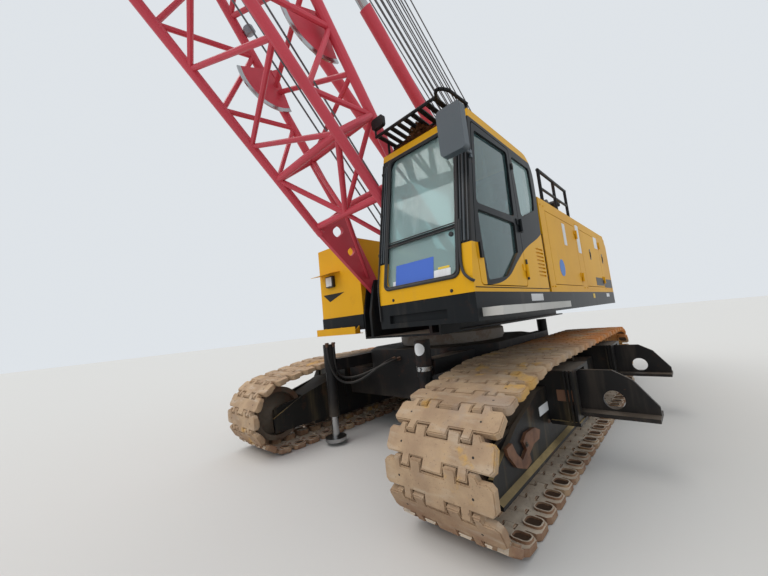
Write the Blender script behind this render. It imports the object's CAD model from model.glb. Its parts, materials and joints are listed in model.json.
# %% [markdown]
# # A parked crawler crane
# The construction model gives every plate, bore and joint of the crane in metres, standing on the
# floor at z = 0. This script dresses it: it gives each surface the finish that years in a muddy yard
# leave, and adds the pieces that are too fine for the construction model. Nothing that came from the
# construction model is moved or changed, so each dressed part still turns on its own joint.

# %% Load the frame
import bisect
import json
import math
import random

import bmesh
import bpy
from mathutils import Matrix, Vector


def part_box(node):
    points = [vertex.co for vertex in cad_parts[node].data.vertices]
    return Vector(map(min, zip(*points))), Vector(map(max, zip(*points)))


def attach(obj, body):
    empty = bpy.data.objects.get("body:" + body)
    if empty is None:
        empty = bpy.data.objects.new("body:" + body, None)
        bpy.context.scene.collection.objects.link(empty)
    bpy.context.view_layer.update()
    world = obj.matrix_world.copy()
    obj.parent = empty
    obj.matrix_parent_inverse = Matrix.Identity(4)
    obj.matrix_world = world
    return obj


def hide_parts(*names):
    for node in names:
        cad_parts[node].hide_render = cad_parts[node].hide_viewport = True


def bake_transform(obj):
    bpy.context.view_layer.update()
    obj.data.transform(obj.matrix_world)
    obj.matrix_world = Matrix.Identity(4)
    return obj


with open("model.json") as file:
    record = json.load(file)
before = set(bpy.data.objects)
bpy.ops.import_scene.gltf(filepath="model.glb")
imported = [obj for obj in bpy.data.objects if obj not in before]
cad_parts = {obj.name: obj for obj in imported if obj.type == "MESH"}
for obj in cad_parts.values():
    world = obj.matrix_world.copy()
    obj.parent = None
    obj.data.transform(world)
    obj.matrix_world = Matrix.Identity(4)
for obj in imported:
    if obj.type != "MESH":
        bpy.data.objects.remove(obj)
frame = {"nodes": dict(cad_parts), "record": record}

scene = bpy.context.scene
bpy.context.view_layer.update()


def new_object(name, data):
    """Links new data to the scene as an object."""
    made = bpy.data.objects.new(name, data)
    scene.collection.objects.link(made)
    return made


def new_mesh(name, points, faces):
    """Mesh data from a list of points and a list of faces."""
    mesh = bpy.data.meshes.new(name)
    mesh.from_pydata(points, [], faces)
    return mesh


# %% [markdown]
# ## The camera
# The camera comes first, because every later choice is judged through it. The picture was taken
# with a very wide lens close to the front left corner of the crane, a little above the floor and
# tipped up, so the near track looks huge and the boom races away. A wide lens is set by its focal
# length in pixels, and the three angles turn a level camera into the one that was held by hand.

# %% Camera
PICTURE_WIDTH = 768
SENSOR_MM = 36
FOCAL_PIXELS = 319.01
CAMERA_PLACE = Vector((4.121, 2.648, 1.400))
YAW, PITCH, ROLL = (math.radians(a) for a in (223.594, 6.335, -5.804))
NEAREST, FARTHEST = 0.05, 300

ahead = Vector((math.cos(YAW) * math.cos(PITCH), math.sin(YAW) * math.cos(PITCH), math.sin(PITCH)))
level_right = Vector((math.sin(YAW), -math.cos(YAW), 0))
level_up = level_right.cross(ahead)
camera_right = level_right * math.cos(ROLL) + level_up * math.sin(ROLL)
camera_up = level_up * math.cos(ROLL) - level_right * math.sin(ROLL)

lens = bpy.data.cameras.new("yard_camera")
lens.sensor_width = SENSOR_MM
lens.lens = FOCAL_PIXELS * SENSOR_MM / PICTURE_WIDTH
lens.clip_start = NEAREST
lens.clip_end = FARTHEST
camera = new_object("yard_camera", lens)
turn = Matrix((camera_right, camera_up, -ahead)).transposed().to_4x4()
camera.matrix_world = Matrix.Translation(CAMERA_PLACE) @ turn
scene.camera = camera
print("lens", round(lens.lens, 2), "mm")

# %% [markdown]
# ## Light and floor
# The yard lies under a bright grey sky. A plain pale world gives that even light from all sides,
# and one wide, weak sun high up adds the soft shade under the deck. The floor is a large plain
# sheet, marked as stage because it isn't part of the crane.

# %% Light and floor
SKY_COLOUR, SKY_STRENGTH = (0.80, 0.84, 0.88, 1), 0.92
SUN_COLOUR, SUN_STRENGTH, SUN_WIDTH = (1.0, 0.97, 0.92), 1.5, 50
SUN_TILT = (24, 20, 20)
FLOOR_HALF, FLOOR_COLOUR, FLOOR_ROUGH = 60, (0.62, 0.61, 0.59, 1), 0.9

scene.view_settings.view_transform = "Standard"
world = bpy.data.worlds.new("overcast")
world.use_nodes = True
sky = world.node_tree.nodes["Background"].inputs
sky["Color"].default_value = SKY_COLOUR
sky["Strength"].default_value = SKY_STRENGTH
scene.world = world

sun = bpy.data.lights.new("high_sun", "SUN")
sun.energy = SUN_STRENGTH
sun.angle = math.radians(SUN_WIDTH)
sun.color = SUN_COLOUR
new_object("high_sun", sun).rotation_euler = [math.radians(a) for a in SUN_TILT]

corners = [(x * FLOOR_HALF, y * FLOOR_HALF, 0) for x, y in ((-1, -1), (1, -1), (1, 1), (-1, 1))]
floor = new_object("floor", new_mesh("floor", corners, [(0, 1, 2, 3)]))
floor_paint = bpy.data.materials.new("pale_floor")
floor_paint.use_nodes = True
look = floor_paint.node_tree.nodes["Principled BSDF"].inputs
look["Base Color"].default_value = FLOOR_COLOUR
look["Roughness"].default_value = FLOOR_ROUGH
floor.data.materials.append(floor_paint)
print("floor", 2 * FLOOR_HALF, "m square")

# %% [markdown]
# ## A small kit for finishes
# A finish is a tree of shader nodes. One class gives every kind of node a short call, so a recipe
# reads like a list of what lies on the metal. It works in each piece's own coordinates, so the
# dirt moves with the piece when its joint turns.

# %% Helpers for node trees


class Finish:
    """One material under construction: short calls that add nodes and join them."""

    def __init__(self, name):
        self.material = bpy.data.materials.new(name)
        self.material.use_nodes = True
        self.tree = self.material.node_tree
        self.shader = self.tree.nodes["Principled BSDF"]
        source = self.add("ShaderNodeTexCoord").outputs
        self.place = source["Object"]
        self.facing = self.axes(source["Normal"])
        self.along = self.axes(self.place)

    def join(self, source, socket):
        """Links the socket to another one, or gives it a number or a colour."""
        if isinstance(source, (int, float)):
            socket.default_value = source
        elif isinstance(source, (tuple, list)):
            fourth = (1,) if len(source) == 3 and len(socket.default_value) == 4 else ()
            socket.default_value = (*source, *fourth)
        else:
            self.tree.links.new(source, socket)

    def add(self, kind, sources=None, **settings):
        """Adds a node and joins its sockets, which are called by name or by number."""
        node = self.tree.nodes.new(kind)
        for key, value in settings.items():
            setattr(node, key, value)
        for key, source in (sources or {}).items():
            self.join(source, node.inputs[key])
        return node

    def set(self, key, source):
        self.join(source, self.shader.inputs[key])

    def axes(self, vector):
        return self.add("ShaderNodeSeparateXYZ", {0: vector}).outputs

    def maths(self, operation, *sources, clamp=False):
        sources = dict(enumerate(sources))
        return self.add("ShaderNodeMath", sources, operation=operation, use_clamp=clamp).outputs[0]

    def times(self, a, b):
        return self.maths("MULTIPLY", a, b)

    def above(self, a, b):
        return self.maths("GREATER_THAN", a, b)

    def below(self, a, b):
        return self.maths("LESS_THAN", a, b)

    def noise(self, scale, detail, stretch=None, roughness=0.55):
        where = self.place
        if stretch:
            where = self.add("ShaderNodeMapping", {"Vector": where, "Scale": stretch}).outputs[0]
        sources = {"Vector": where, "Scale": scale, "Detail": detail, "Roughness": roughness}
        return self.add("ShaderNodeTexNoise", sources).outputs["Fac"]

    def between(self, value, low, high, to_low=0.0, to_high=1.0):
        """A smooth step from to_low to to_high while the value goes from low to high."""
        sources = dict(enumerate((value, low, high, to_low, to_high)))
        return self.add("ShaderNodeMapRange", sources, interpolation_type="SMOOTHSTEP").outputs[0]

    def mix(self, share, a, b):
        sources = {"Factor": share, "A": a, "B": b}
        return self.add("ShaderNodeMix", sources, data_type="RGBA").outputs["Result"]

    def relief(self, height, strength, distance):
        sources = {"Strength": strength, "Distance": distance, "Height": height}
        self.set("Normal", self.add("ShaderNodeBump", sources).outputs[0])

    def patch(self, low, high, scale, detail, stretch=None, roughness=0.55):
        """Patches of noise, nought below low and one above high."""
        return self.between(self.noise(scale, detail, stretch, roughness), low, high)

    def runs(self):
        """The streaks that rain draws down a wall."""
        return self.patch(0.52, 0.75, 7, 5, (1, 1, 0.12))

    def upward(self):
        """One where the surface faces up, nought where it is steep."""
        return self.between(self.facing[2], 0.35, 0.95)


print("short calls for node trees ready")

# %% [markdown]
# ## One recipe for weather
# Every finish on this crane is paint or bare metal with weather on it, so one recipe serves them
# all: a base colour that drifts a little, rain streaks that run down, rust that breaks through in
# patches, and dust that settles on what faces up and on what is near the ground.

# %% Weather
DUST = (0.23, 0.185, 0.14)
RUST, DARK_RUST = (0.22, 0.075, 0.028), (0.099, 0.03375, 0.0126)
FLAKES, DARK_FLAKES = (0.20, 0.095, 0.052), (0.10, 0.045, 0.027)
LEDGE_TOP = (0.42, 0.52)


def inside(f, low, high):
    """One inside a box of the piece's own coordinates, nought outside; y counts from the middle."""
    share = 1.0
    for value, a, b in zip((f.along[0], f.maths("ABSOLUTE", f.along[1]), f.along[2]), low, high):
        share = f.times(share, f.times(f.above(value, a), f.below(value, b)))
    return share


def weathered(name, base, drift, rust, dust, streaks, shine, relief, metal=0.0, mud_top=0.0,
              dust_colour=DUST, high_dust=None, gloss=0.5, rusty_box=None):
    """Paint or metal with drifting colour, streaks, rust above a threshold and settled dust.

    high_dust is the dust's colour above LEDGE_TOP, and rusty_box holds bare rusty iron.
    """
    f = Finish(name)
    colour = f.mix(f.patch(0.35, 0.65, 0.8, 3), base, drift)
    colour = f.mix(f.times(f.runs(), streaks), colour, dust_colour)
    broken = f.noise(3.2, 9, roughness=0.68)
    rusty = f.between(broken, 0.62 - rust * 0.35, 0.68 - rust * 0.35)
    spots = f.between(f.noise(24, 6, roughness=0.7), 0.66 - rust * 0.15, 0.70 - rust * 0.15)
    worn = f.maths("MAXIMUM", f.times(rusty, rust), f.times(spots, min(1.0, rust * 2)))
    colour = f.mix(worn, colour, f.mix(f.noise(18, 4), RUST, DARK_RUST))
    patches = f.patch(0.38, 0.66, 2.4, 7)
    settled = f.times(f.upward(), f.maths("MULTIPLY_ADD", patches, 0.7, 0.5))
    if mud_top:
        splash = f.times(f.between(f.along[2], mud_top, 0.0), f.patch(0.36, 0.60, 4.5, 8))
        settled = f.maths("MAXIMUM", settled, splash)
    settled = f.maths("MULTIPLY", settled, dust, clamp=True)
    grain = f.noise(60, 5)
    film = f.mix(grain, dust_colour, tuple(min(1.0, 1.35 * c) for c in dust_colour))
    if high_dust:
        film = f.mix(f.between(f.along[2], *LEDGE_TOP), film, high_dust)
    colour = f.mix(settled, colour, film)
    if rusty_box:
        flakes = f.mix(f.patch(0.35, 0.65, 9, 7), FLAKES, DARK_FLAKES)
        colour = f.mix(inside(f, *rusty_box), colour, flakes)
    dull = f.maths("MAXIMUM", settled, worn)
    f.set("Base Color", colour)
    f.set("Specular IOR Level", gloss)
    f.set("Roughness", f.maths("MULTIPLY_ADD", dull, 0.9 - shine, shine, clamp=True))
    f.set("Metallic", metal)
    f.relief(f.maths("ADD", f.times(broken, worn), f.times(grain, 0.35)), relief, 0.004)
    return f.material


print("weather recipe ready")

# %% [markdown]
# ## Paints and metals
# The colours were compared by eye with the real machine: a chrome yellow that has faded towards
# ochre, black chassis paint under brown dust, a raspberry red boom, cast shoes that are the colour
# of dried clay, and grey steel where rods slide. One table holds them all, so that two finishes can
# be compared line by line, and a second one holds what only a few of them need.

# %% Finishes
YELLOW = (0.74, 0.385, 0.012)
BLACK = (0.009, 0.009, 0.010)
BLUE_BLACK = (0.010, 0.012, 0.014)
LEDGE_STRAW, LEDGE_BROWN = (0.46, 0.34, 0.16), (0.115, 0.095, 0.075)
TOW_BOX = ((1.45, 1.6185, 0.28), (2.08, 1.66, 0.53))

# Name, base colour and the colour it drifts to; then rust, dust, streaks, shine and relief.
# Shine is the roughness of the clean surface, so a small number is glossy.
LOOKS = (
    ("yellow_paint", YELLOW, (0.67, 0.33, 0.010), 0.05, 0.30, 0.06, 0.42, 0.08),
    ("black_paint", BLACK, (0.016, 0.015, 0.015), 0.12, 0.45, 0.20, 0.40, 0.2),
    ("track_frame_paint", BLACK, (0.017, 0.016, 0.015), 0.16, 0.85, 0.15, 0.38, 0.25),
    ("deck_paint", BLUE_BLACK, (0.017, 0.018, 0.019), 0.08, 0.5, 0.10, 0.36, 0.15),
    ("red_paint", (0.62, 0.065, 0.095), (0.54, 0.052, 0.078), 0.04, 0.3, 0.08, 0.40, 0.08),
    ("greasy_iron", (0.055, 0.047, 0.040), (0.09, 0.07, 0.05), 0.5, 0.7, 0.3, 0.5, 0.5),
    ("ring_steel", (0.19, 0.155, 0.125), (0.29, 0.25, 0.21), 0.35, 0.7, 0.5, 0.55, 0.4),
    ("bright_steel", (0.45, 0.46, 0.47), (0.38, 0.385, 0.39), 0.04, 0.2, 0.15, 0.22, 0.05),
    ("rope_steel", (0.115, 0.12, 0.13), (0.16, 0.165, 0.175), 0.10, 0.2, 0.1, 0.5, 0.4),
    ("plank_metal", (0.52, 0.51, 0.48), (0.42, 0.41, 0.385), 0.03, 0.5, 0.2, 0.5, 0.2),
    ("dark_gap", (0.010, 0.009, 0.008), (0.018, 0.015, 0.012), 0.05, 0.2, 0.0, 0.8, 0.1),
    ("trim_plastic", (0.030, 0.032, 0.036), (0.04, 0.042, 0.046), 0.0, 0.25, 0.0, 0.55, 0.3),
    ("engine_paint", (0.06, 0.065, 0.07), (0.08, 0.08, 0.08), 0.15, 0.5, 0.2, 0.5, 0.3),
    ("seal_rubber", (0.016, 0.017, 0.018), (0.028, 0.029, 0.030), 0.0, 0.35, 0.1, 0.55, 0.15),
    ("hose_rubber", (0.012, 0.012, 0.013), (0.022, 0.021, 0.020), 0.0, 0.15, 0.05, 0.48, 0.2),
    ("black_trim", (0.012, 0.012, 0.013), (0.020, 0.020, 0.021), 0.03, 0.3, 0.1, 0.35, 0.1),
    ("label_white", (0.78, 0.79, 0.80), (0.66, 0.67, 0.68), 0.0, 0.25, 0.22, 0.5, 0.05),
    ("board_paint", (0.040, 0.13, 0.56), (0.050, 0.15, 0.58), 0.0, 0.0, 0.0, 0.5, 0.02),
    ("mirror_case", (0.060, 0.078, 0.092), (0.085, 0.105, 0.120), 0.02, 0.3, 0.15, 0.40, 0.05),
    ("pillar_rubber", (0.045, 0.055, 0.062), (0.070, 0.084, 0.094), 0.0, 0.3, 0.2, 0.40, 0.1),
    ("rust_plate", (0.22, 0.11, 0.060), (0.16, 0.075, 0.042), 0.3, 0.2, 0.1, 0.7, 0.4),
    ("wet_mud", (0.055, 0.034, 0.022), (0.085, 0.050, 0.030), 0.1, 0.0, 0.0, 0.45, 0.4),
    ("label_blue", (0.035, 0.15, 0.50), (0.045, 0.19, 0.55), 0.0, 0.1, 0.05, 0.45, 0.05),
    ("label_yellow", (0.80, 0.56, 0.04), (0.72, 0.48, 0.05), 0.0, 0.2, 0.1, 0.5, 0.05),
    ("label_black", (0.020, 0.020, 0.021), (0.034, 0.033, 0.032), 0.0, 0.2, 0.1, 0.45, 0.05),
    ("lamp_grey", (0.20, 0.23, 0.27), (0.26, 0.28, 0.31), 0.05, 0.3, 0.1, 0.35, 0.05),
    ("mirror_glass", (0.62, 0.64, 0.66), (0.55, 0.57, 0.59), 0.0, 0.1, 0.1, 0.08, 0.02),
    ("leaf_litter", (0.20, 0.055, 0.022), (0.10, 0.12, 0.022), 0.4, 0.2, 0.0, 0.7, 0.3))
EXTRAS = {
    "yellow_paint": {"gloss": 0.12},
    "black_paint": {"gloss": 0.18, "mud_top": 0.7, "dust_colour": (0.16, 0.125, 0.095)},
    "track_frame_paint": {"gloss": 0.22, "dust_colour": LEDGE_STRAW, "high_dust": LEDGE_BROWN,
                          "rusty_box": TOW_BOX},
    "deck_paint": {"gloss": 0.10},
    "red_paint": {"gloss": 0.35},
    "hose_rubber": {"gloss": 0.3},
    "greasy_iron": {"metal": 0.3, "mud_top": 1.0},
    "ring_steel": {"metal": 0.2},
    "bright_steel": {"metal": 1.0},
    "rope_steel": {"metal": 0.4},
    "mirror_glass": {"metal": 1.0},
}
FINISHES = {name: weathered(name, *numbers, **EXTRAS.get(name, {})) for name, *numbers in LOOKS}
print(len(FINISHES), "weathered finishes")

# %% [markdown]
# ## Glass
# Cab glass is two clear sheets with a greenish body. A principled shader that lets most of the
# light through does it; a film of dust holds some back and leaves a few rain marks rougher.

# %% Glass


def pane_glass(name, clear, dusty, rough, haze_low, haze_high):
    """Clear glass with a dust film: the haze numbers give how much light the film lets through."""
    f = Finish(name)
    film = f.patch(0.5, 0.8, 5, 6, (1, 1, 0.3))
    f.set("IOR", 1.45)
    f.set("Base Color", f.mix(film, clear, dusty))
    f.set("Roughness", f.times(film, rough))
    f.set("Transmission Weight", f.between(film, 0.0, 1.0, haze_high, haze_low))
    f.set("Specular IOR Level", 0.35)
    FINISHES[name] = f.material


pane_glass("cab_glass_green", (0.60, 0.82, 0.81), (0.52, 0.66, 0.65), 0.10, 0.52, 0.70)
pane_glass("door_glass", (0.30, 0.50, 0.51), (0.26, 0.40, 0.40), 0.08, 0.72, 0.90)
print("two kinds of pane")

# %% [markdown]
# ## The cab's two colours
# The cab is pressed from yellow panels, and the upper half is black: the line between them swoops
# from the rear corner down below the door. It is paint, not a shape, so it belongs in the
# material. The line is a curve over the length of the cab, and a point is black when it lies
# above the curve and below the roof edge. The foot of the front pillar stays yellow, and the
# door handle that stands proud of it is black again.

# %% Cab paint
CAB_FRONT = 2.073
BELT = ((0.367, 2.232), (0.48, 2.168), (0.98, 1.966), (1.196, 1.841), (1.48, 1.673),
        (1.817, 1.609), (2.07, 1.605))
BELT_BASE, ROOF_EDGE = 1.5, 3.000
FOOT_X, FOOT_TOP = 1.862, 1.93
PROUD_Y = 1.572


def above_belt(f):
    """One where the cab is black and nought where it is yellow."""
    curve = f.add("ShaderNodeFloatCurve")
    start, span = BELT[0][0], CAB_FRONT - BELT[0][0]
    points = curve.mapping.curves[0].points
    scaled = [((x - start) / span, z - BELT_BASE) for x, z in BELT]
    points[0].location, points[1].location = scaled[0], scaled[-1]
    for spot in scaled[1:-1]:
        points.new(*spot)
    curve.mapping.update()
    f.join(f.maths("DIVIDE", f.maths("SUBTRACT", f.along[0], start), span), curve.inputs["Value"])
    belt = f.maths("ADD", curve.outputs[0], BELT_BASE)
    black = f.times(f.above(f.along[2], belt), f.below(f.along[2], ROOF_EDGE))
    in_front = f.above(f.along[0], FOOT_X)
    foot = f.times(in_front, f.below(f.along[2], FOOT_TOP))
    handle = f.times(in_front, f.above(f.along[1], PROUD_Y))
    return f.maths("MAXIMUM", handle, f.times(black, f.maths("SUBTRACT", 1.0, foot)))


f = Finish("cab_paint")
colour = f.mix(above_belt(f), YELLOW, BLUE_BLACK)
colour = f.mix(f.times(f.patch(0.69, 0.72, 26, 6, roughness=0.7), 0.5), colour, RUST)
settled = f.times(f.upward(), f.patch(0.3, 0.7, 2.4, 7))
colour = f.mix(f.times(settled, 0.8), colour, (0.30, 0.19, 0.10))
f.set("Base Color", f.mix(f.times(f.runs(), 0.10), colour, DUST))
f.set("Roughness", f.maths("MULTIPLY_ADD", settled, 0.4, 0.34, clamp=True))
f.set("Specular IOR Level", 0.12)
f.relief(f.noise(60, 5), 0.06, 0.003)
FINISHES["cab_paint"] = f.material
print("cab paint", len(f.tree.nodes), "nodes")

# %% [markdown]
# ## Cast track shoes
# The shoes are flat castings that lock into each other with square tongues, and their faces are
# scraped, rusty and caked with clay. Ochre patches show where clay has dried, the top run at the
# back, which nothing has rubbed for a while, is orange rust, and the inner face of the bottom run
# is pale where the rollers tread it. Each of these lies over the one before like a coat of paint.

# %% Shoe material
f = Finish("cast_shoe")
clay = f.mix(f.patch(0.35, 0.65, 5, 8), (0.45, 0.315, 0.195), (0.34, 0.230, 0.145))
pale = f.patch(0.50, 0.72, 14, 6, (1, 0.25, 1))
grey = f.patch(0.54, 0.66, 1.7, 7, roughness=0.6)
ochre = f.patch(0.57, 0.63, 2.1, 8, roughness=0.62)
rusting = f.times(f.between(f.along[0], 0.9, -0.6), f.patch(0.30, 0.55, 3.0, 6))
rusting = f.times(rusting, f.between(f.along[2], 0.6, 0.9))
low_mud = f.times(f.between(f.along[2], 0.38, 0.10), f.patch(0.30, 0.6, 6, 7))
inner = f.times(f.above(f.facing[2], 0.5), f.below(f.along[2], 0.16))
trodden = f.mix(f.noise(9, 6), (0.80, 0.70, 0.57), (0.42, 0.33, 0.24))
pits = f.patch(0.60, 0.68, 70, 5, roughness=0.7)
for coat, share, colour in ((pale, 0.6, (0.48, 0.385, 0.285)), (grey, 0.65, (0.34, 0.265, 0.215)),
                            (ochre, 0.75, (0.55, 0.32, 0.080)), (rusting, 1.0, (0.50, 0.19, 0.050)),
                            (low_mud, 0.75, (0.215, 0.105, 0.060)), (inner, 0.9, trodden),
                            (pits, 0.6, (0.07, 0.045, 0.03))):
    clay = f.mix(f.times(coat, share), clay, colour)
f.set("Base Color", clay)
f.set("Roughness", f.between(pale, 0.0, 1.0, 0.82, 0.55))
f.set("Specular IOR Level", 0.35)
f.relief(f.maths("ADD", f.noise(22, 9, roughness=0.7), f.times(ochre, 0.6)), 0.55, 0.008)
FINISHES["cast_shoe"] = f.material
print("shoe material", len(f.tree.nodes), "nodes")

# %% [markdown]
# ## Finishes go on the construction model
# Each construction piece gets one finish, and a table of names is easier to read and to correct
# than fifty assignments. Pieces that are bare metal on the real crane stay bare here.

# %% Assign finishes
BY_FINISH = {
    "black_paint": "carbody jack_cylinders handrails exhaust cab_roof_guard",
    "mirror_case": "mirrors",
    "track_frame_paint": "left_track_frame right_track_frame",
    "deck_paint": "deck_frame",
    "yellow_paint": "left_house right_house left_hatch_front left_hatch_rear right_hatch_front "
                    "right_hatch_rear counterweight hook_block",
    "cab_paint": "cab_shell cab_door",
    "red_paint": "gantry boom_foot_section boom_head_section backstop_tubes hook",
    "greasy_iron": "left_running_wheels right_running_wheels hoist_drum spare_drum luff_drum "
                   "boom_sheaves gantry_sheaves frame_pins",
    "ring_steel": "ring_lower ring_upper",
    "engine_paint": "engine_block",
    "bright_steel": "jack_rod_front_left jack_rod_front_right jack_rod_rear_left "
                    "jack_rod_rear_right backstop_rods",
    "rope_steel": "pendants luff_ropes hoist_ropes bridle_ropes block_ropes",
    "plank_metal": "walkway",
    "cab_glass_green": "cab_glass",
    "door_glass": "cab_door_glass",
    "trim_plastic": "cab_interior",
    "cast_shoe": "left_track right_track",
}
finish_of = {node: finish for finish, nodes in BY_FINISH.items() for node in nodes.split()}
for node, made in frame["nodes"].items():
    made.data.materials.clear()
    made.data.materials.append(FINISHES[finish_of[node]])
print(len(frame["nodes"]), "construction pieces have a finish")

# %% [markdown]
# ## Making pieces
# New pieces are made as meshes in the crane's own coordinates, so the object stays at the origin
# and its dirt lines up with the dirt of its neighbours. Each one gets one finish and rides on the
# body that carries it on the real crane.

# %% Piece helpers
BODY_OF = {node: body for body, nodes in frame["record"]["behaviour"]["bodies"].items() for node in nodes}


def data_of(name, bm, closed=True):
    """Ends a mesh under construction. The faces of a closed one are turned outwards."""
    if closed:
        bmesh.ops.recalc_face_normals(bm, faces=bm.faces)
    mesh = bpy.data.meshes.new(name)
    bm.to_mesh(mesh)
    bm.free()
    return mesh


def piece(name, made_of, finish, body, smooth=0.0, closed=True):
    """Links a mesh as a piece that rides on the body. smooth is an angle in degrees."""
    mesh = data_of(name, made_of, closed) if isinstance(made_of, bmesh.types.BMesh) else made_of
    mesh.materials.append(FINISHES[finish])
    if smooth:
        mesh.shade_smooth()
        mesh.set_sharp_from_angle(angle=math.radians(smooth))
    made = new_object(name, mesh)
    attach(made, body)
    return made


print("bodies known for", len(BODY_OF), "construction pieces")

# %% [markdown]
# ## Shapes that come back
# A few shapes come back all over a crane: a plate with broken edges, a round bar along a path and
# a turned part. Each has one short function that adds it to a mesh under construction. Bars, prisms
# and turned parts are all rings of points with a skin over them, so they share it.

# %% Shape helpers


def arc(a, b, r, start, end, count):
    """Points on an arc about (a, b), in count equal steps between two angles."""
    turns = [start + (end - start) * i / count for i in range(count + 1)]
    return [(a + r * math.cos(t), b + r * math.sin(t)) for t in turns]


def circle(r, count):
    """Points on a whole circle about the origin."""
    return arc(0, 0, r, 0, 2 * math.pi, count)[:-1]


def rounded(half_a, half_b, r, count=3):
    """A rectangle about the origin with rounded corners, as a list of points."""
    centres = ((half_a - r, half_b - r), (r - half_a, half_b - r),
               (r - half_a, r - half_b), (half_a - r, r - half_b))
    quarter = math.pi / 2
    return [p for k, (a, b) in enumerate(centres)
            for p in arc(a, b, r, k * quarter, (k + 1) * quarter, count)]


def skin(bm, rings, loop=False):
    """Joins rings of points into a closed body, with capped ends or as one loop."""
    rings = [[bm.verts.new(p) for p in ring] for ring in rings]
    for a, b in zip(rings, rings[1:] + (rings[:1] if loop else [])):
        for k in range(len(a)):
            m = (k + 1) % len(a)
            bm.faces.new((a[k], a[m], b[m], b[k]))
    if not loop:
        bm.faces.new(rings[0][::-1])
        bm.faces.new(rings[-1])


def prism(bm, outline, low, high, put):
    """A closed prism: outline is 2-D, put(a, b, c) gives the point in space."""
    skin(bm, [[put(a, b, c) for a, b in outline] for c in (low, high)])


def slab(bm, low, high, edge=0.002, at=(0, 0, 0)):
    """A plate between two corners, counted from a place, with its edges broken."""
    low, high = Vector(at) + Vector(low), Vector(at) + Vector(high)
    size = Matrix.Diagonal((*(high - low), 1))
    made = bmesh.ops.create_cube(bm, size=1, matrix=Matrix.Translation((low + high) / 2) @ size)
    edges = dict.fromkeys(e for corner in made["verts"] for e in corner.link_edges)
    bmesh.ops.bevel(bm, geom=list(edges), offset=edge, segments=1, affect="EDGES")


def round_bar(bm, path, r, count=10):
    """A round bar along a path, with flat ends."""
    path = [Vector(p) for p in path]
    rings, side = [], None
    for before, p, after in zip(path[:1] + path, path, path[1:] + path[-1:]):
        way = (after - before).normalized()
        side = way.orthogonal() if side is None else side
        side = (side - way * side.dot(way)).normalized()
        up = way.cross(side)
        rings.append([p + a * side + b * up for a, b in circle(r, count)])
    skin(bm, rings)


def turned(bm, place, axis, profile, count=20):
    """A turned part: profile lists (radius, height) from the foot to the tip."""
    axis = Vector(axis).normalized()
    side = axis.orthogonal().normalized()
    up = axis.cross(side)
    centres = [(r, Vector(place) + axis * h) for r, h in profile]
    skin(bm, [[centre + a * side + b * up for a, b in circle(r, count)] for r, centre in centres])


def swing(a, pull_a, b, pull_b, count):
    """Points on a smooth curve from a up to b that starts along pull_a and ends along pull_b."""
    points = []
    for i in range(count):
        t = i / count
        points.append((2 * t ** 3 - 3 * t ** 2 + 1) * a + (t ** 3 - 2 * t ** 2 + t) * pull_a
                      + (3 * t ** 2 - 2 * t ** 3) * b + (t ** 3 - t ** 2) * pull_b)
    return points


def smooth_path(points, each=8):
    """More points on one smooth curve through the given ones."""
    points = [Vector(p) for p in points]
    padded = [2 * points[0] - points[1]] + points + [2 * points[-1] - points[-2]]
    path = []
    for a, b, c, d in zip(padded, padded[1:], padded[2:], padded[3:]):
        path += swing(b, (c - a) / 2, c, (d - b) / 2, each)
    return path + [points[-1]]


print("shape helpers ready")

# %% [markdown]
# ## Places on the crane
# Bolts and stickers sit on surfaces that the construction model has already made. A straight line
# is followed from outside until it meets the piece, which gives the place and the way it faces, so
# nothing floats and nothing has to be measured twice.

# %% Placing helpers
SUNK = 0.0005
OUT_LEFT, OUT_FRONT, OVERHEAD = 2.6, 3.0, 4.2


def touch(node, start, way):
    """Where a straight line first meets a construction piece, and which way that surface faces."""
    bpy.context.view_layer.update()
    hit, place, normal, _ = frame["nodes"][node].ray_cast(Vector(start), Vector(way).normalized())
    if not hit:
        raise ValueError(f"nothing of {node} lies ahead of {tuple(start)}")
    return place, normal


def from_side(node, x, z, side=1):
    """Touches a piece from the crane's left, or from its right where side is -1."""
    return touch(node, (x, OUT_LEFT * side, z), (0, -side, 0))


def from_front(node, y, z):
    return touch(node, (OUT_FRONT, y, z), (-1, 0, 0))


def from_above(node, x, y):
    return touch(node, (x, y, OVERHEAD), (0, 0, -1))


def bolt(bm, touched, r):
    """A washer and a chamfered hexagon head where a line has touched a piece."""
    turned(bm, *touched, [(1.5 * r, -0.3 * r), (1.5 * r, 0.25 * r)], 12)
    turned(bm, *touched, [(r, 0.2 * r), (r, 0.85 * r), (0.8 * r, 1.05 * r)], 6)


def badge(name, node, touched, half_a, half_b, finish, thick=0.002):
    """A thin plate or sticker laid on a construction piece where a line has touched it."""
    place, normal = touched
    side = Vector((0, 0, 1)).cross(normal).normalized()
    up = normal.cross(side)
    bm = bmesh.new()
    prism(bm, rounded(half_a, half_b, 0.006), -SUNK, thick,
          lambda a, b, c: place + side * a + up * b + normal * c)
    piece(name, bm, finish, BODY_OF[node])


print("lines start", OUT_LEFT, "m to the side,", OUT_FRONT, "m ahead and", OVERHEAD, "m up")

# %% [markdown]
# ## One track shoe, fifty-seven times
# A shoe is a rigid plate that turns on pins just under its surface. So the loop is walked along
# the line of the pins, and each plate is set between two pins. Round the idler the plates then
# tilt against each other and the seams open, which gives a real track its broken outline.

# %% Walk the track
TRACK_Y, SHOE_W, SHOES, SHOE_T = 1.398, 0.774, 57, 0.112
DRIVE_X, DRIVE_R, IDLER_X, IDLER_R, SHOULDER_X = -2.105, 0.492, 2.150, 0.430, 1.355
PIN_DEPTH = 0.024
HALVINGS = 26

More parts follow.
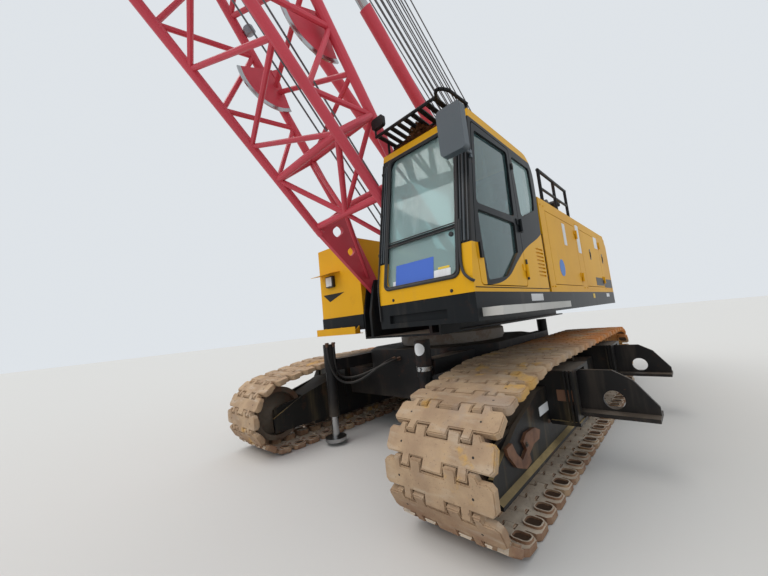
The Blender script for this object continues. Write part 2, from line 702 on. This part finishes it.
slope = Vector((IDLER_X - SHOULDER_X, IDLER_R - DRIVE_R))
slope_angle = math.acos((DRIVE_R - IDLER_R) / slope.length) + math.atan2(slope.y, slope.x)
pin_line = [(DRIVE_X, PIN_DEPTH)]
pin_line += arc(IDLER_X, IDLER_R, IDLER_R - PIN_DEPTH, -math.pi / 2, slope_angle, 60)
pin_line += arc(SHOULDER_X, DRIVE_R, DRIVE_R - PIN_DEPTH, slope_angle, math.pi / 2, 12)
pin_line += arc(DRIVE_X, DRIVE_R, DRIVE_R - PIN_DEPTH, math.pi / 2, 1.5 * math.pi, 80)
pin_line = [Vector(p) for p in pin_line]
reach = [0.0]
for a, b in zip(pin_line, pin_line[1:]):
    reach.append(reach[-1] + (b - a).length)


def on_line(s):
    """The point at the distance s along the closed line of the pins."""
    s %= reach[-1]
    i = min(bisect.bisect_right(reach, s), len(reach) - 1)
    return pin_line[i - 1].lerp(pin_line[i], (s - reach[i - 1]) / max(reach[i] - reach[i - 1], 1e-9))


def walk(pitch, start=0.05):
    """Pins at equal straight distances, and how far along the line the last one has come."""
    places = [start]
    for _ in range(SHOES):
        low, high = places[-1] + 0.9 * pitch, places[-1] + 1.3 * pitch
        for _ in range(HALVINGS):
            middle = (low + high) / 2
            near_enough = (on_line(middle) - on_line(places[-1])).length < pitch
            low, high = (middle, high) if near_enough else (low, middle)
        places.append(low)
    return [on_line(s) for s in places], places[-1] - start


short, long = 0.150, 0.205
for _ in range(HALVINGS):
    pitch = (short + long) / 2
    pins, gone = walk(pitch)
    short, long = (pitch, long) if gone < reach[-1] else (short, pitch)
print("pitch between pins", round(pitch, 4), "m, closing gap", round((pins[-1] - pins[0]).length, 5))

# %% [markdown]
# The shoe itself is drawn once, flat: u runs along the track from pin to pin, v across it and
# w outwards from the pins. Its edge has square tongues, and between them notches for the tongues
# of the next shoe. The wings at its ends are set back, so a gap stays open there.

# %% Draw one shoe
TONGUE, SEAM, WING_BACK = 0.060, 0.009, 0.030
BANDS = ((-0.50, -0.31, 0), (-0.31, -0.217, 1), (-0.217, -0.10, 0), (-0.10, 0.10, 1),
         (0.10, 0.217, 0), (0.217, 0.31, 1), (0.31, 0.50, 0))
WING_SHARES = (0.31, 0.37, 0.50)
PLATE, WING_CUT, RIM = 0.048, 0.024, 0.007


def tooth_edge(at, gap):
    """The toothed edge at u = at, as (u, v) points: gap is positive on the side of the pin."""
    points = []
    for i, (v0, v1, tongue) in enumerate(BANDS):
        u = at + (-TONGUE if tongue else TONGUE) / 2 + gap
        narrower = gap if tongue else -gap
        if i in (0, len(BANDS) - 1):
            side = 1 if i else -1
            root, bend, tip = (side * SHOE_W * share for share in WING_SHARES)
            back = u if gap > 0 else u - WING_BACK
            wing = [(u, root + side * narrower), (u, bend), (back, bend + side * WING_BACK / 2)]
            wing += [(back, tip - side * WING_CUT), (back + math.copysign(WING_CUT, gap), tip)]
            points += wing if i else wing[::-1]
        else:
            points += [(u, v0 * SHOE_W + narrower), (u, v1 * SHOE_W - narrower)]
    return points


outline = tooth_edge(0.0, SEAM / 2) + tooth_edge(pitch, -SEAM / 2)[::-1]
shoe = bmesh.new()
prism(shoe, outline, PIN_DEPTH - PLATE, PIN_DEPTH, lambda u, v, w: Vector((u, v, w)))
bmesh.ops.recalc_face_normals(shoe, faces=shoe.faces)
rim = [e for e in shoe.edges if all(v.co.z > PIN_DEPTH - 0.001 for v in e.verts)]
bmesh.ops.bevel(shoe, geom=rim, offset=RIM, segments=2, affect="EDGES")
print("outline of a shoe:", len(outline), "corners")

# %% [markdown]
# Under the plate sit the barrels for the pins, the two blocks that the rollers run between and, at
# each end, a shallow pocket with a raised rim. On top are two bolt holes. A hole this small reads
# as a dark disc set proud by a hair, which costs far fewer faces than a real cut. Wet mud lies in
# the pockets, as in a yard where the crane has walked through puddles.

# %% Underside of the shoe
BARREL_R, BARREL_SUNK, BARREL_SHORT = 0.030, 0.008, 0.008
POCKET_U, POCKET_V, POCKET_MIDDLE, POCKET_R = 0.055, 0.060, 0.318, 0.038
POCKET_LIP, POCKET_RAISED, MUD_INSET = 0.010, 0.016, 0.0105
PIT_R, PIT_U, PIT_V = 0.0075, 0.52, 0.262
UNDERSIDE, BITE = PIN_DEPTH - PLATE, 0.002


def mirrored(s):
    """Puts a shape of the shoe's underside on the side s of its middle."""
    return lambda u, v, w: Vector((u, s * v, w))


def pocket_outline(inset):
    """A long loop with round ends across the track, smaller by the inset."""
    loop = rounded(POCKET_U - inset, POCKET_V - inset, POCKET_R - inset, 4)
    return [(pitch / 2 + u, POCKET_MIDDLE + v) for u, v in loop]


def shape_of(bm):
    """The points and faces of a mesh under construction, to be laid many times."""
    bmesh.ops.recalc_face_normals(bm, faces=bm.faces)
    bm.verts.index_update()
    points = [v.co.copy() for v in bm.verts]
    faces = [[v.index for v in face.verts] for face in bm.faces]
    bm.free()
    return points, faces


for v0, v1, tongue in BANDS[1:-1]:
    pin_u = 0.0 if tongue else pitch
    prism(shoe, circle(BARREL_R, 12), v0 * SHOE_W + BARREL_SHORT, v1 * SHOE_W - BARREL_SHORT,
          lambda a, b, c: Vector((pin_u + a, c, b - BARREL_SUNK)))
holes, mud = bmesh.new(), bmesh.new()
for s in (-1, 1):
    guide = [(0.024, 0.035), (pitch - 0.024, 0.035), (pitch - 0.040, 0.112), (0.040, 0.112)]
    prism(shoe, guide, PIN_DEPTH - SHOE_T, UNDERSIDE + BITE, mirrored(s))
    outer, inner = pocket_outline(0), pocket_outline(POCKET_LIP)
    for i in range(len(outer)):
        j = (i + 1) % len(outer)
        lip = [outer[i], outer[j], inner[j], inner[i]]
        prism(shoe, lip, UNDERSIDE - POCKET_RAISED, UNDERSIDE + BITE, mirrored(s))
    prism(holes, circle(PIT_R, 8), PIN_DEPTH - 0.004, PIN_DEPTH + 0.0006,
          lambda a, b, c: Vector((pitch * PIT_U + a, s * PIT_V + b, c)))
    prism(mud, pocket_outline(MUD_INSET), UNDERSIDE - BITE, UNDERSIDE + 0.001, mirrored(s))
LAID = (("_shoes", "cast_shoe", shape_of(shoe)), ("_shoe_holes", "dark_gap", shape_of(holes)),
        ("_pocket_mud", "wet_mud", shape_of(mud)))
print("one shoe has", len(LAID[0][2][0]), "points and", len(LAID[0][2][1]), "faces")

# %% [markdown]
# Each shoe is then carried to its pair of pins. A little play in every pin keeps the row from
# looking machined. The holes and the mud go along with their shoe.

# %% Lay the tracks
play = random.Random(11)


def lay(shape, kept, i, side, lift, slip):
    """Adds a copy of a shoe's shape at the i-th pair of pins."""
    points, faces = shape
    start, end = pins[i], pins[i + 1]
    along = (end - start).normalized()
    out = Vector((along.y, -along.x))
    base = len(kept[0])
    for p in points:
        flat_place = start + along * (p.x + slip) + out * (p.z + lift)
        kept[0].append((flat_place.x, side * (TRACK_Y + p.y), max(0.0, flat_place.y)))
    kept[1].extend([base + v for v in (face if side > 0 else reversed(face))] for face in faces)


for side, name in ((1, "left"), (-1, "right")):
    rows = [([], []) for _ in LAID]
    for i in range(SHOES):
        lift, slip = play.uniform(-0.003, 0.0), play.uniform(-0.002, 0.002)
        for row, (_, _, shape) in zip(rows, LAID):
            lay(shape, row, i, side, lift, slip)
    for row, (ending, finish, _) in zip(rows, LAID):
        laid = piece(name + ending, new_mesh(name + ending, *row), finish, name + "_track_body")
        if ending == "_shoes":
            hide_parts(name + "_track")
        print(laid.name, len(row[1]), "faces")

# %% [markdown]
# ## The windscreen's rubber and the boards on it
# The windscreen leans back, so everything on it is placed in the pane's own plane: v across, w up
# the slope and c outwards. A rubber seal goes round it as one bar along a rounded loop. Blank
# boards are stuck to the lower pane, as on many machines that wait for a buyer.

# %% Windscreen
LEAN = math.atan2(0.275, 1.391)
PANE_Y, PANE_FOOT = 1.083, 1.679
PANE_HALF, PANE_LOW, PANE_HIGH, PANE_SPLIT = 0.368, 0.014, 1.318, 0.423
SEAL_OUT, SEAL_R, LIP_IN, LIP_R, SEAL_CORNER = 0.006, 0.013, 0.016, 0.007, 0.05
PIVOT = [(0.012, -0.02), (0.020, 0.0), (0.020, 0.014), (0.010, 0.018)]


def on_screen(v, w, c):
    """A point on the windscreen's plane."""
    return Vector((CAB_FRONT - w * math.sin(LEAN) + c * math.cos(LEAN), PANE_Y + v,
                   PANE_FOOT + w * math.cos(LEAN) + c * math.sin(LEAN)))


middle_w, half_w = (PANE_LOW + PANE_HIGH) / 2, (PANE_HIGH - PANE_LOW) / 2
seal = bmesh.new()
loop = rounded(PANE_HALF + SEAL_OUT, half_w + SEAL_OUT, SEAL_CORNER, 5)
loop += loop[:1]
for inset, r in ((0.0, SEAL_R), (LIP_IN, LIP_R)):
    shrink = [(a * (1 - inset / PANE_HALF), b * (1 - inset / half_w)) for a, b in loop]
    round_bar(seal, [on_screen(a, middle_w + b, 0.004) for a, b in shrink], r, 8)
for w in (PANE_SPLIT - 0.020, PANE_SPLIT + 0.020):
    round_bar(seal, [on_screen(v, w, 0.002) for v in (-PANE_HALF, PANE_HALF)], 0.006, 8)
turned(seal, on_screen(0.300, PANE_SPLIT - 0.055, -0.03), (1, 0, 0.2), PIVOT)
piece("windscreen_seal", seal, "seal_rubber", "upper", smooth=50)

screen_in = on_screen(0, 0, -1) - on_screen(0, 0, 0)
pane_place = touch("cab_glass", on_screen(0.1, 0.2, 0.5), screen_in)[0]
pane_c = (on_screen(0.1, 0.2, 0) - pane_place).dot(screen_in)
BOARD_THICK = 0.002
BOARDS = (("board_blue", -0.270, 0.132, 0.030, 0.222, "board_paint"),
          ("board_white", 0.138, 0.290, 0.036, 0.100, "label_white"),
          ("board_strip", 0.176, 0.280, 0.102, 0.120, "label_yellow"),
          ("board_edge", -0.300, -0.272, 0.040, 0.080, "label_white"))
for name, v0, v1, w0, w1, finish in BOARDS:
    board = bmesh.new()
    shape = rounded((v1 - v0) / 2, (w1 - w0) / 2, 0.004)
    outline = [((v0 + v1) / 2 + a, (w0 + w1) / 2 + b) for a, b in shape]
    prism(board, outline, pane_c - SUNK, pane_c + BOARD_THICK, on_screen)
    piece(name, board, finish, "upper")
print("windscreen seal,", len(BOARDS), "boards, pane at", round(pane_c, 4), "m from the frame's plane")

# %% [markdown]
# ## Corner pillar, drain tube and cable on the cab
# The cab's front corner is a folded pillar with rubber strips in its grooves. A drain tube leaves
# the left one and curls round the corner, and a thin cable in clips runs down the right edge. All
# of them follow the lean of the cab, so they are drawn on the same plane as the windscreen.

# %% Pillar strips, tube and cable
STRIP_ENDS = (0.27, 0.7, 1.28)
strips = bmesh.new()
for v, r in ((0.402, 0.007), (0.430, 0.010), (0.462, 0.006), (-0.404, 0.008), (-0.432, 0.007)):
    round_bar(strips, [on_screen(v, w, 0.003) for w in STRIP_ENDS], r, 8)
piece("pillar_strips", strips, "pillar_rubber", "upper", smooth=50)

tube = bmesh.new()
bend = ((0.394, 0.45, 0.010), (0.394, 0.25, 0.010), (0.402, 0.10, 0.012),
        (0.425, 0.02, 0.014), (0.470, -0.030, 0.010), (0.497, -0.045, -0.006))
round_bar(tube, smooth_path([on_screen(*p) for p in bend]), 0.011)
piece("drain_tube", tube, "seal_rubber", "upper", smooth=50)

cable = bmesh.new()
route = [on_screen(-0.448, w, 0.014) for w in (1.30, 0.9, 0.5, 0.2, 0.03)]
route += [Vector((CAB_FRONT + 0.008, PANE_Y - 0.452, z)) for z in (1.60, 1.50, 1.42)]
round_bar(cable, smooth_path(route, 5), 0.0075, 8)
for w in (1.20, 0.75, 0.35):
    slab(cable, on_screen(-0.462, w - 0.012, 0.000), on_screen(-0.434, w + 0.012, 0.024), 0.003)
piece("edge_cable", cable, "hose_rubber", "upper", smooth=40)
print("strips, tube and cable on the cab")

# %% [markdown]
# ## Door and cab side
# The door hangs on knuckles at its rear edge, two close together below and one above. The pins
# and their leaves are screwed to the cab, so they stay with it when the door swings. Dark seams
# along the rear and the sill make the cab's panels read as separate. The mirror gets its glass.

# %% Door furniture
side_y = from_side("cab_shell", 0.80, 1.72)[0].y
door_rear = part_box("cab_door")[0][0]
KNUCKLE = [(0.009, 0), (0.011, 0.004), (0.011, 0.056), (0.009, 0.060)]
hinges = bmesh.new()
for z in (1.703, 1.836, 2.80):
    turned(hinges, (door_rear - 0.010, side_y + 0.006, z - 0.030), (0, 0, 1), KNUCKLE, 12)
    slab(hinges, (-0.045, -0.001, -0.022), (-0.012, 0.005, 0.022), at=(door_rear, side_y, z))
piece("door_hinge_pins", hinges, "black_trim", "upper", smooth=40)

seams = bmesh.new()
round_bar(seams, [(0.405, side_y + 0.001, z) for z in (1.60, 2.2)], 0.004, 6)
round_bar(seams, [(x, side_y + 0.001, 1.592) for x in (0.42, 1.0, 2.05)], 0.004, 6)
piece("cab_side_seams", seams, "dark_gap", "upper")

mirror = bmesh.new()
slab(mirror, (2.004, 1.458, 2.625), (2.014, 1.632, 2.945), 0.004)
piece("mirror_lens", mirror, "mirror_glass", "upper")
print("door furniture at y", round(side_y, 3))

# %% [markdown]
# ## Leaves and a rail on the cab roof
# Leaves and twigs have gathered in a heap against the front rail of the roof. Each leaf is a bent
# strip of two faces, and a few hundred in one mesh make the heap. A thin rail on three feet runs
# along the roof's left edge, where the driver holds on while cleaning the screen.

# %% Leaves and roof rail
LEAVES, HEAP_X, HEAP_Y, HEAP_SPREAD, HEAP_HIGH = 800, (1.640, 1.775), 1.03, 0.12, 0.15
fall = random.Random(5)
litter = bmesh.new()
for _ in range(LEAVES):
    x, y = fall.uniform(*HEAP_X), HEAP_Y + fall.gauss(0, HEAP_SPREAD)
    z = from_above("cab_shell", x, y)[0].z
    heap = HEAP_HIGH * math.exp(-((y - HEAP_Y) / HEAP_SPREAD) ** 2)
    spin, size = fall.uniform(0, 2 * math.pi), fall.uniform(0.018, 0.036)
    a = Vector((math.cos(spin), math.sin(spin), fall.uniform(-0.5, 0.5))) * size
    b = Vector((-math.sin(spin), math.cos(spin), 0)) * size * 0.5
    rise = Vector((0, 0, fall.uniform(0.003, 0.020)))
    mid = Vector((x, y, z + 0.018 + heap * fall.random()))
    points = [litter.verts.new(p) for p in (mid - a, mid + b + rise, mid + a, mid - b + rise)]
    litter.faces.new((points[0], points[1], points[3]))
    litter.faces.new((points[1], points[2], points[3]))
piece("roof_leaves", litter, "leaf_litter", "upper", closed=False)

RAIL_Y, RAIL_UP = 1.530, 0.042
rail_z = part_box("cab_shell")[1][2] + RAIL_UP
roof_rail = bmesh.new()
round_bar(roof_rail, [(x, RAIL_Y, rail_z) for x in (1.74, 0.80)], 0.010, 8)
for x in (1.66, 1.25, 0.86):
    foot = from_above("cab_shell", x, RAIL_Y)[0]
    round_bar(roof_rail, [foot - Vector((0, 0, BITE)), (x, RAIL_Y, rail_z)], 0.006, 8)
piece("roof_rail", roof_rail, "black_trim", "upper", smooth=40)
print(LEAVES, "leaves and a rail on the roof")

# %% [markdown]
# ## Blank plates, stickers and latches on the house
# Papers and plates are glued to the yellow doors, the sill and the track frame. They stay blank
# here. Each one is laid on the surface behind it by following a line until it meets the panel, so
# it rides with the door that carries it. The latches are small black cups, each with a lever.

# %% Plates and latches
for name, node, x, z, half_x, half_z, finish in (
        ("sheet_front", "left_hatch_front", -0.535, 2.321, 0.062, 0.146, "label_white"),
        ("sheet_middle", "left_house", -1.256, 2.345, 0.088, 0.210, "label_white"),
        ("sheet_rear", "left_hatch_rear", -2.47, 2.420, 0.127, 0.100, "label_white"),
        ("sill_paper", "deck_frame", 0.832, 1.505, 0.165, 0.034, "label_white"),
        ("sill_yellow", "deck_frame", -1.685, 1.500, 0.062, 0.034, "label_yellow"),
        ("sill_white", "deck_frame", -2.815, 1.505, 0.130, 0.030, "label_white"),
        ("model_plate_rear", "left_house", -3.035, 1.715, 0.345, 0.078, "label_black"),
        ("model_plate_front", "left_hatch_rear", -2.345, 1.735, 0.300, 0.066, "label_black"),
        ("track_paper", "left_track_frame", 1.215, 0.560, 0.148, 0.036, "label_white")):
    badge(name, node, from_side(node, x, z), half_x, half_z, finish)
badge("rusty_plate", "left_track_frame", from_front("left_track_frame", 1.766, 0.655), 0.060, 0.046,
      "rust_plate", thick=0.004)

disc = bmesh.new()
turned(disc, *from_side("left_hatch_front", -0.200, 1.856), [(0.105, -SUNK), (0.105, 0.002)], 40)
piece("blue_disc", disc, "label_blue", "left_hatch_front_body")

LATCHES = (("left_hatch_rear", -1.90, 1), ("left_house", -2.86, 1),
           ("right_hatch_front", -0.19, -1), ("right_hatch_rear", -2.64, -1))
LATCH_Z = 2.17
for node, x, side in LATCHES:
    latch = bmesh.new()
    place = from_side(node, x, LATCH_Z, side)[0]
    slab(latch, (-0.032, SUNK * side, -0.085), (0.032, 0.0035 * side, 0.085), 0.0009, place)
    slab(latch, (-0.013, 0.003 * side, -0.050), (0.013, 0.011 * side, 0.040), 0.002, place)
    piece(node + "_latch", latch, "black_trim", BODY_OF[node])
print("plates and latches laid")

# %% [markdown]
# ## Bolts
# Rows of bolts hold the house panels, the track frames' covers and the drive and idler hubs. The
# places are found on the construction pieces and the head is one function, so the whole crane
# needs only a handful of lines.

# %% Bolts
HUBS = ((DRIVE_X, DRIVE_R, 0.150, 12), (IDLER_X, IDLER_R, 0.085, 8))
FRAME_BOLTS, FRAME_START, FRAME_STEP = 14, -1.95, 0.285
panel = bmesh.new()
for side, name in ((1, "left"), (-1, "right")):
    rows, hubs = bmesh.new(), bmesh.new()
    for i in range(FRAME_BOLTS):
        bolt(rows, from_side(name + "_track_frame", FRAME_START + FRAME_STEP * i, 0.44, side), 0.013)
    piece(name + "_frame_bolts", rows, "greasy_iron", name + "_track_body")
    for hub_x, hub_z, ring_r, count in HUBS:
        for a, b in circle(ring_r, count):
            bolt(hubs, from_side(name + "_running_wheels", hub_x + a, hub_z + b, side), 0.012)
    piece(name + "_hub_bolts", hubs, "greasy_iron", name + "_track_body")
    for x in (-3.30, -2.72, -1.34, -1.17, 0.20, 0.30):
        for z in (1.62, 2.56):
            bolt(panel, from_side(name + "_house", x, z, side), 0.008)
    for x in (-3.2, -2.4, -1.6, -0.8, 0.0):
        for y in (0.70, 1.50):
            bolt(panel, from_above(name + "_house", x, side * y), 0.010)
piece("house_bolts", panel, "yellow_paint", "upper")
print("bolts laid")

# %% [markdown]
# ## Jack label and clamp band
# The front left jack carries a round white label, wrapped round its tube, and a bright steel band
# below it with a clamping lug. The label is bent by turning its width into an angle.

# %% Jack label and band
JACK = Vector((1.678, 0.744))
LABEL_R, LABEL_Z, LABEL_TURN, LABEL_OUT = 0.058, 1.128, 0.12, 0.0015
STEPS, TURNS = 4, 24
BAND_TURNS, BAND_LOW, BAND_HIGH, BAND_THICK = 28, 0.925, 0.965, 0.005
tube_r = from_front("jack_cylinders", JACK.y, LABEL_Z)[0].x - JACK.x


def round_tube(u, v):
    """A point of the label: u round the jack's tube and v up."""
    a, r = LABEL_TURN + u / tube_r, tube_r + LABEL_OUT
    return Vector((JACK.x + r * math.cos(a), JACK.y + r * math.sin(a), LABEL_Z + v))


label = bmesh.new()
grid = []
for i in range(1, STEPS + 1):
    grid.append([label.verts.new(round_tube(u, v)) for u, v in circle(LABEL_R * i / STEPS, TURNS)])
centre = label.verts.new(round_tube(0, 0))
for k in range(TURNS):
    m = (k + 1) % TURNS
    label.faces.new((centre, grid[0][k], grid[0][m]))
    for a, b in zip(grid, grid[1:]):
        label.faces.new((a[k], b[k], b[m], a[m]))
piece("jack_label", label, "label_white", "carbody", smooth=60, closed=False)

band = bmesh.new()
inner_r, outer_r = tube_r + SUNK, tube_r + BAND_THICK
section = [(inner_r, BAND_LOW), (outer_r, BAND_LOW), (outer_r, BAND_HIGH), (inner_r, BAND_HIGH)]
skin(band, [[(JACK.x + r * a, JACK.y + r * b, z) for r, z in section]
            for a, b in circle(1, BAND_TURNS)], loop=True)
lug_at = Vector((JACK.x + tube_r + 0.004, JACK.y + 0.01, 0.945))
slab(band, (-0.004, -0.012, -0.018), (0.022, 0.012, 0.018), 0.003, lug_at)
bolt(band, (lug_at + Vector((0.012, 0.012, 0)), (0, 1, 0)), 0.007)
piece("jack_band", band, "bright_steel", "carbody", smooth=40)
print("label and band at radius", round(tube_r, 3))

# %% [markdown]
# ## Guide plates, lamp and ropes in the boom
# Two sectors of red plate hang from the boom's top chords and keep the slack ropes from swinging
# into the cab. Their round rims are edged with bare steel, and a lamp hangs beside them.

# %% Guide plates and lamp
BOOM_FOOT = Vector((0.954, 0, 1.920))
BOOM_ANGLE = math.radians(51.6)
HUNG_S, HUNG_N, PLATE_R, PLATE_Y = 2.82, 0.43, 0.42, 0.46
FIRST_TURN, LAST_TURN = math.radians(188), math.radians(294)


def on_boom(s, n, y=0.0):
    """s along the boom from its foot pin, n square to it towards the back, y across."""
    return BOOM_FOOT + Vector((s * math.cos(BOOM_ANGLE) - n * math.sin(BOOM_ANGLE), y,
                               s * math.sin(BOOM_ANGLE) + n * math.cos(BOOM_ANGLE)))


def sector(r):
    """The round edge of a guide plate."""
    return arc(HUNG_S, HUNG_N, r, FIRST_TURN, LAST_TURN, 18)


plates, rims = bmesh.new(), bmesh.new()
fan = [(HUNG_S - 0.05, HUNG_N + 0.05), *sector(PLATE_R), (HUNG_S + 0.05, HUNG_N + 0.03)]
hanger = [(HUNG_S + s, n) for s, n in ((-0.04, HUNG_N), (0.04, HUNG_N), (0.04, 0.56), (-0.04, 0.56))]
rim = sector(PLATE_R + 0.006) + sector(PLATE_R - 0.034)[::-1]
for y in (-PLATE_Y, PLATE_Y):
    for made, outline, half in ((plates, fan, 0.004), (plates, hanger, 0.012), (rims, rim, 0.009)):
        prism(made, outline, y - half, y + half, on_boom)
piece("boom_guide_plates", plates, "red_paint", "boom")
piece("boom_guide_rims", rims, "bright_steel", "boom")

LAMP_SHAPE = [(0.045, -0.05), (0.060, -0.03), (0.060, 0.03), (0.052, 0.036)]
lamp, lamp_at = bmesh.new(), on_boom(3.3, 0.50, -0.47)
turned(lamp, lamp_at, on_boom(-1, 0) - on_boom(0, 0), LAMP_SHAPE)
round_bar(lamp, [lamp_at, on_boom(3.3, 0.58, -0.50)], 0.012, 8)
piece("boom_lamp", lamp, "lamp_grey", "boom", smooth=40)
print("guide plates hang at", HUNG_S, "m along the boom")

# %% [markdown]
# The hoist ropes leave the front drum below and run up inside the lattice to the head. They are
# taut, so each is a straight bar; the stretch between drum and boom is shared between both bodies,
# so it follows when the boom luffs.

# %% Hoist ropes
DRUM, BARREL = Vector((0.150, 0, 1.900)), 0.205
HEAD_END = Vector((12.90, -0.31))
ROPE_STEPS, STEP_GROWTH = 40, 1.6
drum_s = (DRUM - BOOM_FOOT).dot(on_boom(1, 0) - on_boom(0, 0))
drum_n = (DRUM - BOOM_FOOT).dot(on_boom(0, 1) - on_boom(0, 0))
drum_end = Vector((drum_s, drum_n - BARREL))
places = [drum_end.lerp(HEAD_END, (i / ROPE_STEPS) ** STEP_GROWTH) for i in range(ROPE_STEPS + 1)]
ropes = bmesh.new()
for y in (-0.165, -0.055, 0.055, 0.165):
    round_bar(ropes, [on_boom(*place, y) for place in places], 0.010, 8)
run = new_object("hoist_run", data_of("hoist_run", ropes))
run.data.materials.append(FINISHES["rope_steel"])
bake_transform(run)
print("hoist ropes, drum at", round(drum_s, 3), round(drum_n, 3))

# %% [markdown]
# ## Work lamp and hood on the right front
# The right house has a work lamp on its front under a small sheet hood, and a dark notch for the
# hand below. The lamp is a housing with a white lens.

# %% Work lamp
lamp_place = from_front("right_house", -1.275, 2.11)[0]
notch_place = from_front("right_house", -1.25, 1.88)[0]
housing, lamp_lens, hood, notch = (bmesh.new() for _ in range(4))
slab(housing, (-0.01, -0.088, -0.086), (0.055, 0.088, 0.086), 0.010, lamp_place)
slab(lamp_lens, (0.050, -0.070, -0.068), (0.060, 0.070, 0.068), 0.004, lamp_place)
prism(hood, [(0.0, 0.135), (0.20, 0.095), (0.20, 0.090), (0.0, 0.128)], -0.26, 0.22,
      lambda a, b, c: lamp_place + Vector((a - BITE, c, b)))
prism(notch, [(-0.26, 0.05), (0.26, 0.04), (-0.10, -0.07)], 0.0, 0.002,
      lambda a, b, c: notch_place + Vector((c, a, b)))
piece("work_lamp_housing", housing, "black_trim", "upper")
piece("work_lamp_lens", lamp_lens, "label_white", "upper")
piece("work_lamp_hood", hood, "yellow_paint", "upper")
piece("front_notch", notch, "dark_gap", "upper")
print("work lamp at", [round(c, 3) for c in lamp_place])

# %% [markdown]
# ## Front step and fascia bolts
# A yellow step of bent plate runs under the right front sill on three gussets, and two bolts hold
# the fascia under the windscreen.

# %% Step
STEP_BACK, STEP_NOSE, STEP_LOW, STEP_HIGH, STEP_THICK = 1.152, 1.290, 1.300, 1.400, 0.008
STEP_ENDS, GUSSETS, GUSSET_HIGH = (-1.560, -0.660), (-1.50, -1.11, -0.72), 1.42


def drawn_along_y(a, b, c):
    """Puts a section seen from the side at c along y."""
    return Vector((a, c, b))


step = bmesh.new()
sole, nose = STEP_LOW + STEP_THICK, STEP_NOSE - STEP_THICK
angle = [(STEP_BACK, STEP_LOW), (STEP_NOSE, STEP_LOW), (STEP_NOSE, STEP_HIGH), (nose, STEP_HIGH),
         (nose, sole), (STEP_BACK, sole)]
prism(step, angle, *STEP_ENDS, drawn_along_y)
gusset = [(STEP_BACK - 0.003, sole), (nose, sole), (STEP_BACK - 0.003, GUSSET_HIGH)]
for y in GUSSETS:
    prism(step, gusset, y - STEP_THICK / 2, y + STEP_THICK / 2, drawn_along_y)
piece("front_step", step, "yellow_paint", "upper")

fascia = bmesh.new()
for y in (0.795, 1.383):
    bolt(fascia, from_front("cab_shell", y, 1.590), 0.009)
piece("fascia_bolts", fascia, "black_trim", "upper")
print("step from y", STEP_ENDS[0], "to", STEP_ENDS[1])

# %% [markdown]
# ## Hydraulic hoses
# Two hoses feed the front right jack: they drop from their elbows beside its tube, swing through
# one slack bend and run in to the carbody. Each is one smooth curve, wide enough for a stiff hose,
# and is declared with its true length.

# %% Hoses
HOSE_D, HOSE_OFF, TUBE_R = 0.030, 0.022, 0.075
JACK_TOP = Vector((1.678, -0.744, 1.200))
NIPPLE = [(0.024, -0.002), (0.024, 0.018), (0.018, 0.020), (0.018, 0.052)]
DOWN, ACROSS, INWARDS = Vector((0, 0, -0.75)), Vector((-0.40, 0.42, -0.02)), Vector((-0.65, 0, 0))
HOSES = ((90, -0.079, Vector((1.500, -0.590, 0.770))), (40, -0.165, Vector((1.545, -0.545, 0.715))))
for number, (turn, end_y, low_point) in enumerate(HOSES):
    away = Vector((math.cos(math.radians(turn)), math.sin(math.radians(turn)), 0))
    start = JACK_TOP + away * (TUBE_R + HOSE_OFF)
    elbow = start + Vector((0, 0, 0.020))
    end = from_front("carbody", end_y, 0.95)[0]
    fittings = bmesh.new()
    turned(fittings, end, (1, 0, 0), NIPPLE, 12)
    turned(fittings, start + Vector((0, 0, 0.030)), (0, 0, -1), NIPPLE, 12)
    round_bar(fittings, [elbow - away * (HOSE_OFF + 0.004), elbow], 0.014)
    piece(f"hose_fittings_{number}", fittings, "greasy_iron", "carbody", smooth=40)
    end += Vector((0.022, 0, 0))
    path = swing(start, DOWN, low_point, ACROSS, 16) + swing(low_point, ACROSS, end, INWARDS, 16) + [end]
    curve = bpy.data.curves.new(f"jack_hose_{number}", "CURVE")
    curve.dimensions = "3D"
    curve.bevel_depth = HOSE_D / 2
    curve.bevel_resolution = 3
    curve.use_fill_caps = True
    spline = curve.splines.new("POLY")
    spline.points.add(len(path) - 1)
    for point, place in zip(spline.points, path):
        point.co = (*place, 1)
    curve.materials.append(FINISHES["hose_rubber"])
    hose = new_object(f"jack_hose_{number}", curve)
    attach(hose, "carbody")
